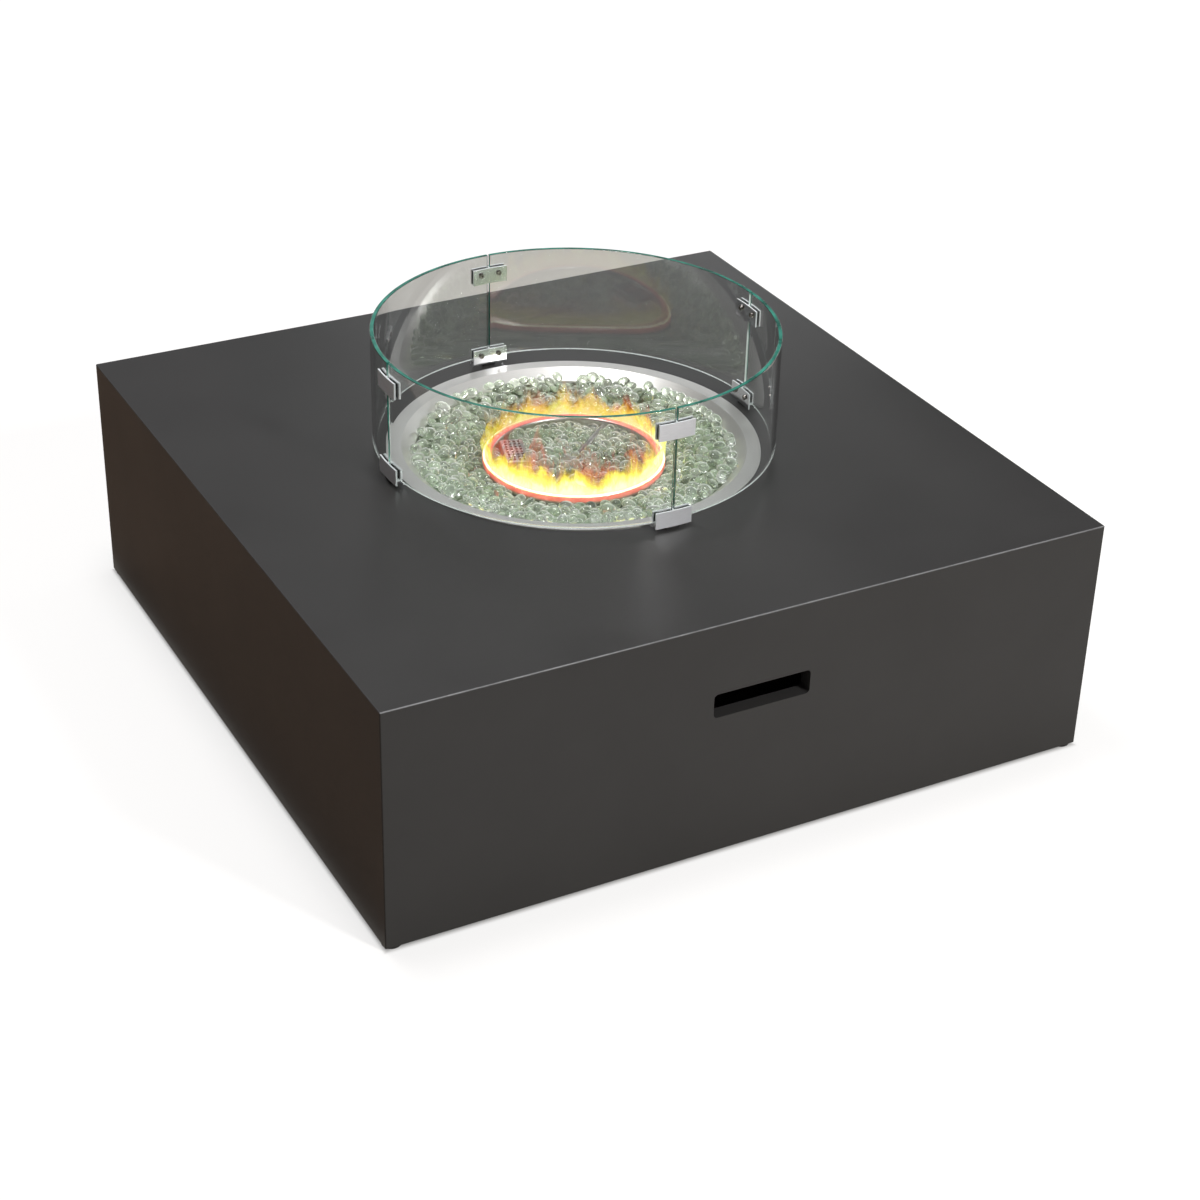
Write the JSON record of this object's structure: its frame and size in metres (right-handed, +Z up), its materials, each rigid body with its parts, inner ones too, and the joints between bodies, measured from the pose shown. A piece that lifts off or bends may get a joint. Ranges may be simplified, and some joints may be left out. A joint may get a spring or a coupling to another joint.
{
  "type": "gas fire pit table",
  "caption": "Low square gas fire table: charcoal sheet casing, ring burner in a bed of glass beads, round glass wind guard in chrome clips, control recess on one side.",
  "frame": {"origin": "on the floor under the middle of the casing", "axes": "+Z up; -Y is the face with the finger slot; +X is the side with the controls"},
  "size_m": [0.9, 0.9, 0.45],
  "materials": {
    "casing_paint": "satin charcoal powder coat",
    "frame_paint": "satin black powder coat",
    "tray_steel": "satin stainless",
    "burner_steel": "stainless, heat tinted",
    "cover_steel": "stainless, punched",
    "shield_steel": "galvanised",
    "clip_chrome": "polished edges, brushed faces",
    "clip_screw": "polished",
    "pad_rubber": "soft matt",
    "guard_glass": "clear toughened float, green edge",
    "bed_glass": "loose pale rounded beads",
    "brass": "machined",
    "aluminium_tube": "drawn",
    "recess_paint": "satin black powder coat",
    "plate_steel": "brushed",
    "nut_steel": "plated",
    "knob_plastic": "heat-resistant, satin",
    "igniter_plastic": "gloss black",
    "electrode_ceramic": "white alumina",
    "sensor_copper": "copper-clad",
    "lead_insulation": "red silicone",
    "battery_case": "printed sleeve without text"
  },
  "bodies": {
    "casing": {"top_panel": "casing_paint", "front_panel": "casing_paint", "rear_panel": "casing_paint", "left_panel": "casing_paint", "right_panel": "casing_paint", "front_slot_liner": "casing_paint", "rear_slot_liner": "casing_paint", "hose_grommet": "pad_rubber", "corner_posts": "frame_paint", "bottom_rails": "frame_paint", "top_rails": "frame_paint", "tray_rails": "frame_paint", "corner_glides": "pad_rubber", "burner_tray": "tray_steel", "ring_burner": "burner_steel", "burner_locknut": "nut_steel", "fire_glass": "bed_glass", "pilot_cover": "cover_steel", "spark_electrode": "electrode_ceramic", "thermocouple": "sensor_copper", "heat_shield": "shield_steel", "shield_spacers": "shield_steel", "shield_screws": "nut_steel", "air_mixer": "brass", "gas_injector": "brass", "feed_elbow": "brass", "control_recess": "recess_paint", "control_plate": "plate_steel", "gas_valve": "brass", "bonnet_nut": "nut_steel", "igniter_body": "igniter_plastic", "igniter_battery": "battery_case", "igniter_nut": "igniter_plastic", "inlet_bracket": "shield_steel", "gas_inlet": "brass", "inlet_backnut": "brass", "inlet_tube": "aluminium_tube", "burner_tube": "aluminium_tube", "thermocouple_lead": "sensor_copper", "ignition_lead": "lead_insulation", "tube_nuts": "brass"},
    "valve_push": {"stem_collar": "nut_steel"},
    "knob_turn": {"control_knob": "knob_plastic", "valve_stem": "brass"},
    "igniter_press": {"igniter_button": "igniter_plastic"},
    "wind_guard": {"guard_glass_front_left": "guard_glass", "guard_glass_front_right": "guard_glass", "guard_glass_rear_left": "guard_glass", "guard_glass_rear_right": "guard_glass", "clip_pads": "pad_rubber", "clip_screws": "clip_screw", "guard_feet": "pad_rubber", "guard_clip_front_lower": "clip_chrome", "guard_clip_front_upper": "clip_chrome", "guard_clip_left_lower": "clip_chrome", "guard_clip_left_upper": "clip_chrome", "guard_clip_rear_lower": "clip_chrome", "guard_clip_rear_upper": "clip_chrome", "guard_clip_right_lower": "clip_chrome", "guard_clip_right_upper": "clip_chrome"}
  },
  "joints": [
    {"name": "knob_push", "type": "slide", "parent": "casing", "child": "valve_push", "axis": [-1, 0, 0], "range_m": [0, 0.004], "stiffness_N_per_m": 1500, "springref_m": -0.004},
    {"name": "knob_turn", "type": "hinge", "parent": "valve_push", "child": "knob_turn", "pos_m": [0.42, -0.034, 0.165], "axis": [1, 0, 0], "range_deg": [-90, 90]},
    {"name": "igniter_press", "type": "slide", "parent": "casing", "child": "igniter_press", "axis": [-1, 0, 0], "range_m": [0, 0.004], "stiffness_N_per_m": 1200, "springref_m": -0.004},
    {"name": "guard_lift", "type": "slide", "parent": "casing", "child": "wind_guard", "axis": [0, 0, 1], "range_m": [0, 0.2]}
  ]
}
